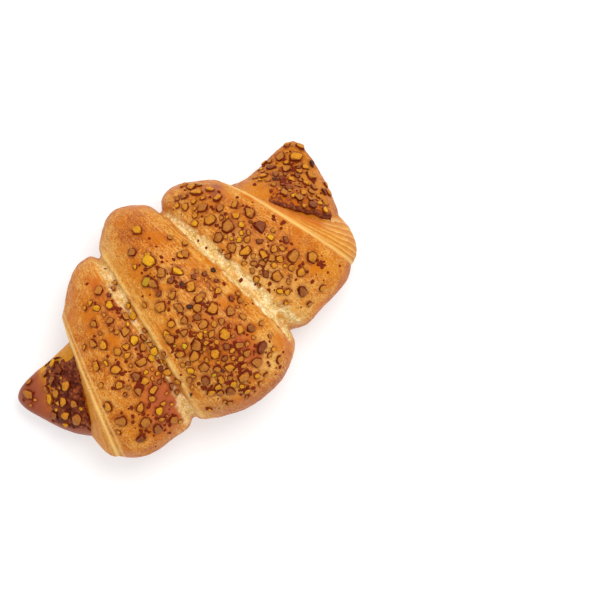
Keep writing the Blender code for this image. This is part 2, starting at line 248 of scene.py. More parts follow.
# Grooves beside the middle turn, where the crust tore and the crumb shows: place, depth and reach
CREASES = (
    (LEFT_CREASE - 2.4 * MM, 1.8 * MM, 1.7 * MM),
    (RIGHT_CREASE + 2.8 * MM, 2.2 * MM, 2.5 * MM),
)

# Bare ends of the roll: length up to the first turn, half-width there and bluntness
BLUNT_HORN = (LEFT_LIP, 20 * MM, 0.62)
POINTED_HORN = (ROLL_LENGTH - RIGHT_LIP, 26 * MM, 0.74)


class Drift(NamedTuple):
    """A drift of nuts: how many, the stretch of the roll it keeps to, its middle and spread along the
    roll, and its middle and spread round it in degrees."""

    count: int
    first: float
    last: float
    along: float
    along_spread: float
    degrees: float
    degrees_spread: float


PASTRY_DRIFTS = (
    Drift(46, LEFT_LIP + 1 * MM, LEFT_CREASE - 4 * MM, 46 * MM, 5 * MM, 112, 24),
    Drift(62, LEFT_CREASE, RIGHT_CREASE, 76 * MM, 7 * MM, 122, 22),
    Drift(16, LEFT_CREASE, RIGHT_CREASE, 75 * MM, 7.5 * MM, 80, 20),
    Drift(54, RIGHT_CREASE + 5 * MM, RIGHT_LIP - 3 * MM, 108 * MM, 6 * MM, 82, 26),
    Drift(26, SLIT_END + 1 * MM, ROLL_LENGTH, 147 * MM, 5 * MM, 90, 24),
    Drift(5, 1 * MM, TONGUE_START, 6 * MM, 1.5 * MM, 90, 22),
)
FILLING_DRIFT = Drift(24, TONGUE_START + 4 * MM, LEFT_LIP - 5 * MM, 17 * MM, 3.5 * MM, 88, 14)


class Nut(NamedTuple):
    """A chip of nut: its size, the seed of its shape, the point it lies on and the way out there."""

    size: float
    seed: int
    spot: Vector
    outward: Vector


def smooth(low, high, value):
    """0 below low, 1 above high and an even ease between."""
    share = np.clip((value - low) / (high - low), 0, 1)
    return share * share * (3 - 2 * share)


def band(value, first, second, third, last):
    """0 up to the first limit, 1 from the second to the third, 0 from the last and even eases between."""
    return smooth(first, second, value) * (1 - smooth(third, last, value))


def bell(distance, reach):
    """1 at no distance, and nearly 0 at twice the reach."""
    return np.exp(-((distance / reach) ** 2))


def through(places, values, at):
    """A smooth curve that takes the given values at the given places."""
    places, values = np.array(places), np.array(values)
    slopes = np.gradient(values, places)
    before = np.clip(np.searchsorted(places, at) - 1, 0, len(places) - 2)
    step = places[before + 1] - places[before]
    share = (at - places[before]) / step
    left = 1 - share
    return (
        left * left * ((1 + 2 * share) * values[before] + share * step * slopes[before])
        + share * share * ((1 + 2 * left) * values[before + 1] - left * step * slopes[before + 1])
    )


def frame_at(along):
    """Centre, sideways direction and nose lift of the section at a distance along the roll."""
    places, xs, ys, facings = zip(*SPINE, strict=True)
    facing = np.radians(through(places, facings, along))
    from_nose = np.minimum(along, ROLL_LENGTH - along)
    lift = NOSE_LIFT * (1 - smooth(0, NOSE_REACH, from_nose))
    return through(places, xs, along), through(places, ys, along), -np.sin(facing), np.cos(facing), lift


def lip_length(turn, angle):
    """How far a turn's rounded lips reach past it at an angle round the roll."""
    frontness = (1 - np.cos(angle)) / 2
    return turn.lip_back + (turn.lip_front - turn.lip_back) * frontness**1.5


def turn_half_width(turn, along, angle):
    """Half-width of one turn of dough, which falls to nothing past its rounded lips."""
    share = np.clip((along - turn.start) / (turn.end - turn.start), 0, 1)
    body = (
        turn.half_start * (1 - share) * (1 - 2 * share)
        + turn.half_middle * 4 * share * (1 - share)
        + turn.half_end * share * (2 * share - 1)
    )
    past = np.maximum(turn.start - along, along - turn.end)
    return body * np.sqrt(np.clip(1 - np.clip(past / lip_length(turn, angle), 0, 1) ** 2, 0, 1))


def horn_half_width(along):
    """Half-width of the bare roll, which narrows to a nose at each end."""
    blunt, pointed = (
        half_root * np.clip(from_nose / length, 0, 1) ** bluntness
        for (length, half_root, bluntness), from_nose in (
            (BLUNT_HORN, along), (POINTED_HORN, ROLL_LENGTH - along),
        )
    )
    return np.where(along < ROLL_LENGTH / 2, blunt, pointed)


def half_width(along, angle):
    """Half-width of the skin at a distance along the roll and an angle round it."""
    found = horn_half_width(along)
    for turn in TURNS:
        found = np.maximum(found, turn_half_width(turn, along, angle))
    for place, depth, reach in CREASES:
        found = found - depth * bell(along - place, reach)
    return found


def height_ratio(half):
    """Height of a section for its half-width, which is more on slender stretches."""
    thickness = smooth(SLENDER_HALF_WIDTH, THICK_HALF_WIDTH, half)
    return SLENDER_HEIGHT_TO_HALF_WIDTH + (HEIGHT_TO_HALF_WIDTH - SLENDER_HEIGHT_TO_HALF_WIDTH) * thickness


def grain(points, length, shift=0.0):
    """Noise between about -1 and 1 at each point, with features of a length."""
    offset = Vector((shift, shift, shift))
    return np.array([noise.noise(Vector(point) / length + offset) for point in points])


def section(cosine, sine):
    """The rounded section's sideways and upright shares, for a half-width and a height of 1."""
    power = 2 / SECTION_POWER
    side = np.sign(cosine) * np.abs(cosine) ** power
    top = (1 - WIDEST_LEVEL) * np.abs(sine) ** power
    under = -UNDERSIDE_DEPTH * WIDEST_LEVEL * np.abs(sine) ** power
    return side, np.where(sine > 0, top, under)


def skin(along, angle):
    """Points of the pastry's skin, from arrays of distances along the roll and angles round it."""
    half = half_width(along, angle)
    ratio = height_ratio(half)
    x, y, side_x, side_y, lift = frame_at(along)
    across, upright = section(np.cos(angle), np.sin(angle))
    upright = upright * ratio
    level = ratio * WIDEST_LEVEL * half + lift

    def points_at(size):
        """Points of the section at a size."""
        aside = across * size
        return np.stack([x + side_x * aside, y + side_y * aside, level + upright * size], axis=1)

    lumps = LUMP_HEIGHT * grain(points_at(half), LUMP_LENGTH)
    points = points_at(half + lumps * smooth(0, SLENDER_HALF_WIDTH, half))
    points[:, 2] = np.maximum(points[:, 2], 0)
    return points


def stations(count):
    """Distances along the roll, one for each row, closer together near noses, lips and creases."""
    along = np.linspace(0, ROLL_LENGTH, STATION_STEPS)
    from_nose = np.minimum(along, ROLL_LENGTH - along)
    density = 1 + NOSE_CROWDING * np.exp(-from_nose / NOSE_CROWDING_REACH)
    for place in (LEFT_LIP, LEFT_CREASE, RIGHT_CREASE, RIGHT_LIP):
        density = density + EDGE_CROWDING * bell(along - place, EDGE_CROWDING_REACH)
    total = np.concatenate([[0], np.cumsum((density[1:] + density[:-1]) / 2)])
    return np.interp(np.linspace(0, 1, count + 1), total / total[-1], along)


def round_angles(share, top_share):
    """Angles round the section for shares of a whole turn, with most of the columns over the top."""
    return np.where(
        share < top_share,
        math.pi * share / top_share,
        math.pi + math.pi * (share - top_share) / (1 - top_share),
    )


def ball_shares(mesh):
    """For each point of a unit ball, its share of the way from pole to pole and of the way round."""
    points = np.array([vertex.co for vertex in mesh.verts], float)
    down = np.arccos(np.clip(points[:, 2], -1, 1)) / math.pi
    turn = np.arctan2(points[:, 1], points[:, 0]) / (2 * math.pi)
    return down, np.mod(turn + 1e-6, 1)


def horn_crest(along):
    """Height of the bare horns' crest, also where turns of dough cover them."""
    half = horn_half_width(along)
    return height_ratio(half) * half + frame_at(along)[4]


def filling_section(along):
    """Half-width, half-height, sideways place and height of the filling at distances along the roll."""
    tongue = 1 - smooth(LEFT_LIP, LEFT_LIP + HORN_TO_CORE, along)
    slit = smooth(RIGHT_LIP - HORN_TO_CORE, RIGHT_LIP, along)
    core = 1 - tongue - slit
    half = TONGUE_HALF_WIDTH * tongue + SLIT_HALF_WIDTH * slit + CORE_HALF_WIDTH * core
    tall = CORE_HALF_HEIGHT * (tongue + core) + SLIT_HALF_HEIGHT * slit
    level = (
        (horn_crest(along) + TONGUE_PROUD - CORE_HALF_HEIGHT) * tongue
        + (horn_crest(along) + SLIT_PROUD - SLIT_HALF_HEIGHT) * slit
        + CORE_LEVEL * core
    )
    return half, tall, SLIT_SIDE * slit, level


def rounded_end(distance, length):
    """How a quarter ellipse rises from 0 at the end to 1 at its length."""
    return np.sqrt(np.clip(1 - (1 - np.clip(distance / length, 0, 1)) ** 2, 0, 1))


def filling_skin(along, angle):
    """Points of the filling's surface."""
    half, tall, side, level = filling_section(along)
    taper = rounded_end(along - TONGUE_START, TONGUE_NOSE) * rounded_end(SLIT_END - along, SLIT_NOSE)
    x, y, side_x, side_y, _ = frame_at(along)
    across = side + np.cos(angle) * half * taper
    points = np.stack(
        [x + side_x * across, y + side_y * across, level + np.sin(angle) * tall * taper], axis=1
    )
    swell = FILLING_LUMP_HEIGHT * grain(points, FILLING_LUMP_LENGTH)
    points[:, 2] += swell * taper * np.sin(angle)
    return points


def resting_frame(surface, along, angle):
    """The point of a surface function at a place along the roll and round it, and the way out there."""
    step, turn = 0.4 * MM, 0.02
    here, ahead, beside = surface(
        np.array([along, along + step, along]), np.array([angle, angle, angle + turn])
    )
    outward = Vector(np.cross(beside - here, ahead - here)).normalized()
    return Vector(here), outward if outward.z > 0 else -outward


def draw_nuts(drift, surface, draw, largest=NUT_LARGEST, others=(), spacing=NUT_SPACING):
    """Random nuts of one drift, from the largest down, none on top of another or of the others."""
    kept = []
    shares = sorted((draw.betavariate(*NUT_SIZE_SPREAD) for _ in range(drift.count)), reverse=True)
    for share in shares:
        size = NUT_SMALLEST + (largest - NUT_SMALLEST) * share
        for _ in range(NUT_TRIES):
            along = draw.gauss(drift.along, drift.along_spread)
            degrees = draw.gauss(drift.degrees, drift.degrees_spread)
            seed = draw.randrange(10**6)
            reach = NUT_REACH * size
            if not drift.first + reach < along < drift.last - reach:
                continue
            if abs(degrees - 90) > 90 - NUT_LOWEST_DEGREES:
                continue
            nut = Nut(size, seed, *resting_frame(surface, along, math.radians(degrees)))
            near = (*kept, *others)
            if all((nut.spot - other.spot).length > spacing * (size + other.size) for other in near):
                kept.append(nut)
                break
    return kept


def plan_middle():
    """The middle of the plain pastry's outline seen from above, at the model's own fineness."""
    mesh = bmesh.new()
    bmesh.ops.create_uvsphere(mesh, u_segments=PLAN_COLUMNS, v_segments=PLAN_ROWS, radius=1)
    down, turn = ball_shares(mesh)
    mesh.free()
    along = np.interp(down, np.linspace(0, 1, PLAN_ROWS + 1), stations(PLAN_ROWS))
    points = skin(along, round_angles(turn, PLAN_TOP_SHARE)).astype(np.float32)
    middle = (points.min(axis=0) + points.max(axis=0)) / 2
    return np.array([middle[0], middle[1], 0], float)


MIDDLE = plan_middle()


def in_scene(name, data):
    """A new object in the scene."""
    made = bpy.data.objects.new(name, data)
    bpy.context.scene.collection.objects.link(made)
    return made


def ball_object(name, columns, rows, place):
    """A ball whose points are moved to where the function place puts them, and its rows and columns."""
    mesh = bmesh.new()
    bmesh.ops.create_uvsphere(mesh, u_segments=columns, v_segments=rows, radius=1)
    down, turn = ball_shares(mesh)
    along, angle, points = place(down, turn)
    for vertex, point in zip(mesh.verts, points - MIDDLE, strict=True):
        vertex.co = point
    if mesh.calc_volume(signed=True) < 0:
        bmesh.ops.reverse_faces(mesh, faces=mesh.faces)
    data = bpy.data.meshes.new(name)
    mesh.to_mesh(data)
    mesh.free()
    data.shade_smooth()
    return in_scene(name, data), along, angle


def read_points(data, what="co"):
    """A mesh's points or normals as an array."""
    found = np.empty(len(data.vertices) * 3)
    data.vertices.foreach_get(what, found)
    return found.reshape(-1, 3)


def push_out(data, height):
    """Moves a mesh's points along their normals, and never below the ground."""
    moved = read_points(data) + read_points(data, "normal") * height[:, None]
    moved[:, 2] = np.maximum(moved[:, 2], 0)
    data.vertices.foreach_set("co", moved.ravel())
    data.update()


def paint(data, **fields):
    """Stores arrays on a mesh's points under their names, for its material to read."""
    for name, values in fields.items():
        if values.ndim == 1:
            data.attributes.new(name, "FLOAT", "POINT").data.foreach_set("value", values)
        else:
            data.attributes.new(name, "FLOAT_VECTOR", "POINT").data.foreach_set("vector", values.ravel())


# Spots where a field of the crust differs: how much, the middle along the roll in mm and round it in
# degrees, and the reaches in mm and degrees
PATCHES = {
    "glaze": (
        (0.9, 41.5, 62, 3.4, 12), (0.8, 49.5, 52, 2.6, 11), (1.2, 52, 130, 5.2, 18),
        (0.8, 82, 127, 2.8, 13), (0.9, 92, 152, 2.8, 11), (0.9, 118, 43, 3.2, 12),
        (0.6, 105, 124, 3.4, 11), (0.5, 131, 90, 2.6, 34),
    ),
    "gold": (
        (0.5, 41.5, 62, 3.0, 10), (0.45, 108.5, 55, 5, 14), (0.8, 118, 140, 5, 26),
        (0.45, 38, 138, 6, 16), (0.4, 46, 100, 5, 20), (0.5, 66, 70, 3, 26),
        (0.5, 131, 68, 3.5, 20),
    ),
    "rose": (
        (0.5, 49.5, 52, 2.6, 10), (1.5, 51.5, 131, 5.6, 19), (1.2, 81, 126, 3.0, 13),
    ),
    "red": (
        (0.35, 52.5, 134, 4.5, 14), (0.45, 78, 167, 7, 9), (0.35, 65, 160, 4, 12),
        (0.8, 120, 38, 1.6, 8), (0.8, 116.5, 48, 1.6, 8), (0.7, 139, 82, 3.0, 16),
        (0.5, 134, 96, 2.0, 26),
    ),
    "brown": (
        (0.08, 38, 60, 6, 30), (0.2, 84, 35, 5, 14), (0.2, 77, 52, 6, 18),
        (0.12, 118, 108, 5, 20), (0.2, 50, 74, 5, 14), (0.15, 112, 52, 6, 16),
        (0.25, 91, 160, 3.5, 9), (0.2, 118, 168, 5, 10), (0.35, 155, 90, 4, 60),
    ),
    "pale": (
        (0.18, 65, 40, 4.5, 20), (0.15, 75, 82, 8, 16), (0.2, 70, 142, 6, 11),
        # The pale patch at 84 mm and 148 degrees is painted light, lifting the lower bulging side of the
        # middle turn that faces away from the key
        (0.45, 104, 105, 4.5, 13), (0.5, 85, 141, 5.5, 14), (0.15, 84, 148, 6, 16),
        (0.45, 121.5, 53, 2.6, 9), (0.5, 104.5, 127, 3.6, 13), (0.35, 101, 152, 5, 14),
    ),
}


def patch_field(field, at):
    """How strongly the patches of one field act at each point of the crust."""
    total = np.zeros(len(at.along))
    for amount, along, degrees, along_reach, degrees_reach in PATCHES[field]:
        near = bell(at.along / MM - along, along_reach) * bell(at.degrees - degrees, degrees_reach)
        total = total + amount * near
    return total


# Layers of noise: the strength, the length of its features and the shift that sets it apart
SWELLING = ((0.28, 5.5 * MM, 0), (0.14, 2.3 * MM, 4))
CRUMB_RELIEF = ((0.5, 1.5 * MM, 8), (0.4, 0.8 * MM, 9))
FILLING_RELIEF = ((0.45, 2.6 * MM, 2), (0.45, 1.2 * MM, 3), (0.25, 0.7 * MM, 4))
TEAR_GRAIN = ((0.7, 2.2 * MM, 0), (0.6, 5 * MM, 7), (0.5, 9 * MM, 18))
BAKE_GRAIN = ((0.16, 13 * MM, 11), (0.1, 4.5 * MM, 12))


def grains(points, layers):
    """Layers of noise together, at each point."""
    return sum(strength * grain(points, length, shift) for strength, length, shift in layers)


def torn(from_middle, half, ragged):
    """1 within a tear's half-width of its middle and 0 past it, all in mm."""
    return 1 - smooth(half - TEAR_EASE, half + TEAR_EASE, np.abs(from_middle) + ragged)


def crumb_field(at):
    """Where the torn crumb shows beside the creases of the middle turn, from 0 to 1."""
    ragged = grains(at.points, TEAR_GRAIN)
    islands = smooth(0.08, 0.34, grain(at.points, 3 * MM, 19)) * smooth(50, 110, at.degrees)
    left_half = np.minimum(0.6 + 1.6 * ((at.degrees - 108) / 40) ** 2, 2.4)
    right_half = 1.3 + 1.5 * smooth(45, 80, at.degrees) + 0.5 * smooth(110, 150, at.degrees)
    left = 0.74 * torn(at.from_left - LEFT_TEAR, left_half, ragged)
    right = (1 - 0.65 * islands) * torn(at.from_right - RIGHT_TEAR, right_half, ragged)
    return np.maximum(left, right) * band(at.degrees, *CRUMB_BAND)


def lip_fields(along, angle):
    """For the left and the right lip: how far down its rounded edge a place is, and whether it shows."""
    found = []
    for turn, past in ((LEFT_TURN, LEFT_LIP - along), (RIGHT_TURN, along - RIGHT_LIP)):
        down = past / lip_length(turn, angle)
        proud = turn_half_width(turn, along, angle) - horn_half_width(along)
        found.append((down, smooth(-0.05, 0.03, down) * smooth(-0.4 * MM, 0.3 * MM, proud)))
    return found


def steps(value):
    """A saw that rises slowly and drops fast once for every whole number."""
    share = np.mod(value, 1)
    return np.minimum(share / 0.75, (1 - share) / 0.25)


def crust_place(down, turn):
    """Places a ball's points on the pastry's skin."""
    along = np.interp(down, np.linspace(0, 1, CRUST_ROWS + 1), stations(CRUST_ROWS))
    angle = round_angles(turn, TOP_SHARE)
    return along, angle, skin(along, angle)


def crust_regions(along, angle, points):
    """Where each point of the crust is, and its share in each region of the crust, as named arrays."""
    at = SimpleNamespace(along=along, points=points, degrees=np.degrees(angle))
    at.flow = np.stack([along, angle * FLOW_RADIUS, np.zeros(len(along))], axis=1)
    at.stretched = at.flow * np.array([1, FLOW_STRETCH, 1])
    at.from_left, at.from_right = (along - LEFT_CREASE) / MM, (along - RIGHT_CREASE) / MM
    at.crumb = crumb_field(at)
    (at.left_down, at.left_lip), (at.right_down, at.right_lip) = lip_fields(along, angle)
    at.lip = np.maximum(LEFT_LIP_SHARE * at.left_lip, at.right_lip)
    at.left_horn = (along < LEFT_LIP) * (1 - at.left_lip)
    at.right_horn = (along > RIGHT_LIP) * (1 - at.right_lip)
    at.turns = (1 - at.left_horn) * (1 - at.right_horn)
    at.outward = np.degrees(np.arccos(np.cos(angle))) + OUTWARD_WANDER * grain(points, 5 * MM, 22)
    at.under = band(at.degrees, *UNDERSIDE_BAND)
    at.bulging = np.maximum(smooth(*BULGING_EASE, at.outward), at.under)
    at.tip = 1 - smooth(*TIP_EASE, along + TIP_WANDER * grain(points, 4 * MM, 23))
    at.ridge = bell(at.from_left - RIDGE, RIDGE_REACH) * band(at.degrees, *RIDGE_BAND)
    at.washed = smooth(0.1, 0.42, grain(points, 7 * MM, 21)) * (1 - at.crumb) * at.turns
    slant = np.clip((ROOT_HALF_WIDTH * np.cos(angle) - SLIT_SIDE) / SLIT_HALF_WIDTH, -1, 1)
    from_slit = along - SLIT_COVERED + SLIT_SLANT * slant + SLIT_ROLL
    at.rolled_edge = bell(from_slit, SLIT_ROLL_REACH) * band(at.degrees, *SLIT_BAND)
    return at


def crust_streak(at):
    """How streaky each point of the crust is: most beside the creases, and some on the pointed horn."""
    beside = bell(at.from_left, 9) + bell(at.from_right, 9)
    streak = np.clip((0.2 + 0.8 * beside) * (0.75 + 0.9 * grain(at.points, 8 * MM, 17)), 0, 1)
    return streak * (1 - at.crumb) * (1 - 0.7 * at.under) * at.turns + 0.4 * at.right_horn


def crust_glaze(at):
    """How thick the egg wash lies on each point of the crust, from 0 to 1."""
    horn = at.left_horn * np.maximum(0.7 * at.tip, 0.6 * at.bulging)
    return np.clip(patch_field("glaze", at) + 0.55 * at.washed + horn, 0, 1)


def crust_layers(at):
    """A count of the dough's layers down each lip, with uneven lines between them."""
    layers = np.where(at.along < LEFT_LIP, at.left_down * LEFT_LAYERS, at.right_down * RIGHT_LAYERS)
    return layers + 0.2 * grain(at.stretched, 1.5 * MM, 3) + 0.12 * grain(at.points, 8 * MM, 15)


def crust_relief(at):
    """How far each point of the crust stands out, in mm."""
    height = grains(at.points, SWELLING) * (1 - 0.6 * at.glaze)
    height += STREAK_HEIGHT * grain(at.stretched, 0.9 * MM, 5) * at.streak
    height += GRAIN_HEIGHT * grain(at.points, 0.9 * MM, 6) * (1 - at.glaze) * (1 - at.under)
    height += at.crumb * (grains(at.points, CRUMB_RELIEF) - CRUMB_DEPTH)
    height += LAYER_HEIGHT * at.lip * (steps(at.layers) - 0.5)
    height += RIDGE_HEIGHT * at.ridge + ROLL_HEIGHT * at.rolled_edge
    return height * smooth(0, NOSE_EASE, np.minimum(at.along, ROLL_LENGTH - at.along))


def crust_bake(at):
    """How browned each point of the crust is, from 0 to 1; one pale patch in it is painted light."""
    bake = CRUST_BASE + patch_field("brown", at) - patch_field("pale", at) + grains(at.points, BAKE_GRAIN)
    bake += STREAK_BAKE * grain(at.stretched, 2.2 * MM, 13) * at.streak
    bake += CREASE_BAKE * (bell(at.from_left, 5) + bell(at.from_right - 2, 6)) * at.turns
    bake += BULGING_EDGE_BAKE * smooth(158, 178, at.degrees) * (1 - at.under) + UNDERSIDE_BAKE * at.under
    bake += HOLLOW_EDGE_BAKE * (1 - smooth(0, 25, at.outward))
    bake += BLUNT_HORN_BAKE * at.left_horn + POINTED_HORN_BAKE * at.right_horn
    return np.clip(bake, 0, 1)


def crust_gold(at):
    """How golden each point of the crust is, from 0 to 1."""
    glow = bell(at.from_right + 2.0, 2.2) + 0.7 * bell(at.from_left - 2.6, 2.0)
    gold = patch_field("gold", at) + (0.45 * glow + 0.3 * at.washed) * at.turns
    gold += at.left_horn * (1 - at.tip) * (1 - smooth(62, 88, at.outward)) * (1 - at.under)
    gold += 0.8 * at.right_horn * band(at.degrees, *POINTED_TOP_BAND)
    gold += 0.75 * at.left_lip * smooth(0.25, 0.45, at.left_down) * smooth(60, 100, at.outward)
    return np.clip(gold, 0, 0.9)


def crust_cream(at):
    """How creamy each point is, from 0 to 1: on the ridge by the left crease and along both lips."""
    before_lip, past_lip = (LEFT_LIP - at.along) / MM, (at.along - RIGHT_LIP) / MM
    cream = at.ridge * (0.7 + 0.5 * grain(at.points, 2 * MM, 14))
    cream += 0.95 * bell(before_lip - 0.4, 0.7) + 0.55 * bell(before_lip + 1.5, 0.45)
    cream += 0.75 * bell(past_lip - 0.3, 0.6) * smooth(20, 45, at.degrees)
    return np.clip(cream * (1 - at.under) * (1 + 0.4 * grain(at.stretched, 2 * MM, 16)), 0, 1)


def make_crust(nuts):
    """The pastry's whole skin, with its torn crumb, the edges of its layers, wrinkles and blisters."""
    crust, along, angle = ball_object("crust", CRUST_COLUMNS, CRUST_ROWS, crust_place)
    at = crust_regions(along, angle, read_points(crust.data))
    at.streak, at.glaze, at.layers = crust_streak(at), crust_glaze(at), crust_layers(at)
    push_out(crust.data, crust_relief(at) * MM)
    red = patch_field("red", at) + at.left_horn * np.maximum(0.85 * at.tip, 0.75 * at.bulging)
    paint(
        crust.data, flow=at.flow, crumb=at.crumb, streak=at.streak, layers=at.layers,
        bake=crust_bake(at), gold=crust_gold(at), cream=crust_cream(at), red=np.clip(red, 0, 1),
        rose=np.clip(patch_field("rose", at), 0, 1),
        yolk=at.left_horn * (1 - at.tip) * (1 - smooth(48, 80, at.outward)) * (1 - at.under),
        glaze=np.clip(at.glaze + 1.1 * at.rolled_edge, 0, 1), lip=at.lip * (1 - at.rolled_edge),
        stain=nut_stain(at.points, nuts),
    )
    return crust


def nut_stain(points, nuts):
    """How much each point of the crust is darkened round the nuts: partly by the sugar that ran out round
    them, partly as painted contact shadow beside them.
    """
    tree = kdtree.KDTree(len(points))
    for number, point in enumerate(points):
        tree.insert(point, number)
    tree.balance()
    stain = np.zeros(len(points))
    for nut in nuts:
        spot = nut.spot - Vector(MIDDLE)
        for _, number, distance in tree.find_range(spot, nut.size / 2 + STAIN_AND_SHADE_REACH):
            near = 1 - float(smooth(nut.size * 0.38, nut.size / 2 + STAIN_AND_SHADE_REACH, distance))
            stain[number] = max(stain[number], near)
    return stain


def filling_place(down, turn):
    """Places a ball's points on the filling, most of them where it shows."""
    eased = (1 - np.cos(math.pi * down)) / 2
    shares, places = zip(*FILLING_VISIBLE, strict=True)
    along = np.interp(0.5 * eased + 0.5 * down, shares, places)
    angle = turn * 2 * math.pi
    return along, angle, filling_skin(along, angle)


def make_filling():
    """The nut paste, granular where it shows, with dough over it up to the slit's rolled edge."""
    filling, along, angle = ball_object("nut_paste", FILLING_COLUMNS, FILLING_ROWS, filling_place)
    data = filling.data
    points = read_points(data)
    height = grains(points, FILLING_RELIEF)
    ragged = 0.8 * grain(points, 2.2 * MM, 5) * MM
    past_cover = along - SLIT_COVERED + SLIT_SLANT * np.cos(angle) + ragged
    covered = smooth(*PAST_MIDDLE, along) * (1 - smooth(-0.6 * MM, 0.6 * MM, past_cover))
    beside = smooth(-0.2, 0.5, -np.cos(angle)) * smooth(-1 * MM, 1 * MM, along - DOUGH_BESIDE + ragged)
    beside += smooth(0.78, 0.93, np.cos(angle) + ragged / (8 * MM))
    beside *= 1 - smooth(LEFT_LIP, LEFT_LIP + 4 * MM, along)
    push_out(data, height * MM)
    sunk = read_points(data)
    sunk[:, 2] -= COVERED_DEPTH * np.clip(covered + beside, 0, 1) * smooth(-0.1, 0.3, np.sin(angle))
    data.vertices.foreach_set("co", sunk.ravel())
    data.update()
    syrup = smooth(*PAST_MIDDLE, along) * smooth(0, 1.2 * MM, past_cover - SLIT_OPEN)
    paint(data, lump=height, syrup=syrup)
    return filling


class Kind(NamedTuple):
    """A kind of chopped nut: its share of all, the colours of its sides and its tops, and its gloss."""

    name: str
    share: float
    side: tuple
    tops: tuple
    roughness: float


MAROON = (0.13, 0.014, 0.003)
FLECK_COLOUR = (0.125, 0.013, 0.003)
KINDS = (
    Kind("nuts_golden", 0.66, MAROON, ((0.40, 0.14, 0.024), (0.52, 0.19, 0.022), (0.66, 0.26, 0.014)), 0.42),
    Kind("nuts_yellow", 0.13, (0.24, 0.045, 0.003), ((0.60, 0.25, 0.010), (0.74, 0.37, 0.012)), 0.4),
    Kind("nuts_green", 0.03, (0.14, 0.04, 0.003), ((0.46, 0.26, 0.015), (0.64, 0.40, 0.015)), 0.42),
    Kind("nuts_brown", 0.14, (0.080, 0.009, 0.002), ((0.20, 0.046, 0.015), (0.36, 0.12, 0.026)), 0.42),
    Kind("nuts_dark", 0.04, (0.030, 0.008, 0.005), ((0.050, 0.018, 0.011), (0.10, 0.04, 0.022)), 0.45),
)


def chip_corners(nut):
    """Corners of a chip where it lies, with the nut's own way out as up."""
    draw = random.Random(nut.seed)
    radii = Vector((1, draw.uniform(*NUT_WIDTHS), draw.uniform(*NUT_THICKNESSES))) * nut.size / 2
    corners = []
    for corner in range(NUT_CORNERS):
        height = 1 - (2 * corner + 1) / NUT_CORNERS
        ring = math.sqrt(1 - height * height)
        turn = corner * GOLDEN_ANGLE
        way = Vector((ring * math.cos(turn), ring * math.sin(turn), height))
        way += Vector([draw.gauss(0, NUT_UNEVENNESS) for _ in range(3)])
        corners.append(way.normalized() * radii)
    tilt = Matrix.Rotation(draw.uniform(-NUT_TILT, NUT_TILT), 3, "X")
    spin = Matrix.Rotation(draw.uniform(0, 2 * math.pi), 3, "Z")
    return [tilt @ spin @ corner for corner in corners]


def chip(nut, spread=1.0, flatten=1.0):
    """A chip's points where they lie in the model, its triangles, and how much each point faces out."""
    mesh = bmesh.new()
    for corner in chip_corners(nut):
        top = min(corner.z, NUT_TOP * nut.size)
        mesh.verts.new((corner.x * spread, corner.y * spread, top * flatten))
    bmesh.ops.convex_hull(mesh, input=mesh.verts)
    inside = [vertex for vertex in mesh.verts if not vertex.link_faces]
    bmesh.ops.delete(mesh, geom=inside, context="VERTS")
    bmesh.ops.dissolve_limit(mesh, angle_limit=NUT_FLATNESS, verts=mesh.verts, edges=mesh.edges)
    bmesh.ops.bevel(
        mesh, geom=mesh.edges[:] + mesh.verts[:], offset=NUT_ROUNDING * nut.size, segments=2,
        profile=0.5, affect="EDGES", clamp_overlap=True,
    )
    bmesh.ops.recalc_face_normals(mesh, faces=mesh.faces)
    bmesh.ops.triangulate(mesh, faces=mesh.faces)
    mesh.normal_update()
    mesh.verts.index_update()
    facing = [vertex.normal.z for vertex in mesh.verts]
    lift = nut.size * NUT_LIFT * flatten
    place = Matrix.Translation(nut.spot - Vector(MIDDLE) + nut.outward * lift)
    place = place @ nut.outward.to_track_quat("Z", "Y").to_matrix().to_4x4()
    points = [place @ vertex.co for vertex in mesh.verts]
    triangles = [[vertex.index for vertex in face.verts] for face in mesh.faces]
    mesh.free()
    return points, triangles, facing


def joined_chips(name, nuts, draw, spread=1.0, flatten=1.0):
    """One mesh of many chips, with a tone of its own for each."""
    points, triangles, facing, tones = [], [], [], []
    for nut in nuts:
        chip_points, chip_triangles, chip_facing = chip(nut, spread, flatten)
        first = len(points)
        points += chip_points
        triangles += [[first + corner for corner in triangle] for triangle in chip_triangles]
        facing += chip_facing
        tones += [draw.random()] * len(chip_points)
    data = bpy.data.meshes.new(name)
    data.from_pydata(points, [], triangles)
    data.shade_smooth()
    paint(data, facing=np.array(facing), tone=np.array(tones))
    return in_scene(name, data)


SMALLER_DRIFTS = (
    Drift(40, LEFT_LIP + 1 * MM, LEFT_CREASE + 2 * MM, 53 * MM, 4.5 * MM, 100, 16),
    Drift(52, LEFT_CREASE + 1 * MM, RIGHT_CREASE, 73 * MM, 5 * MM, 119, 14),
    Drift(10, LEFT_CREASE + 1 * MM, RIGHT_CREASE, 88 * MM, 3 * MM, 98, 12),
    Drift(34, RIGHT_CREASE + 4 * MM, RIGHT_LIP - 2 * MM, 106 * MM, 4.5 * MM, 86, 20),
    Drift(30, RIGHT_LIP + 9 * MM, ROLL_LENGTH, 144 * MM, 6 * MM, 88, 24),
    Drift(3, 1 * MM, TONGUE_START, 7 * MM, 1 * MM, 110, 15),
)
SMALLER_FILLING_DRIFTS = (
    Drift(30, TONGUE_START + 1 * MM, DOUGH_BESIDE, 17 * MM, 5 * MM, 90, 32),
    Drift(12, SLIT_COVERED + 2 * MM, SLIT_END, 135 * MM, 2 * MM, 90, 30),
)
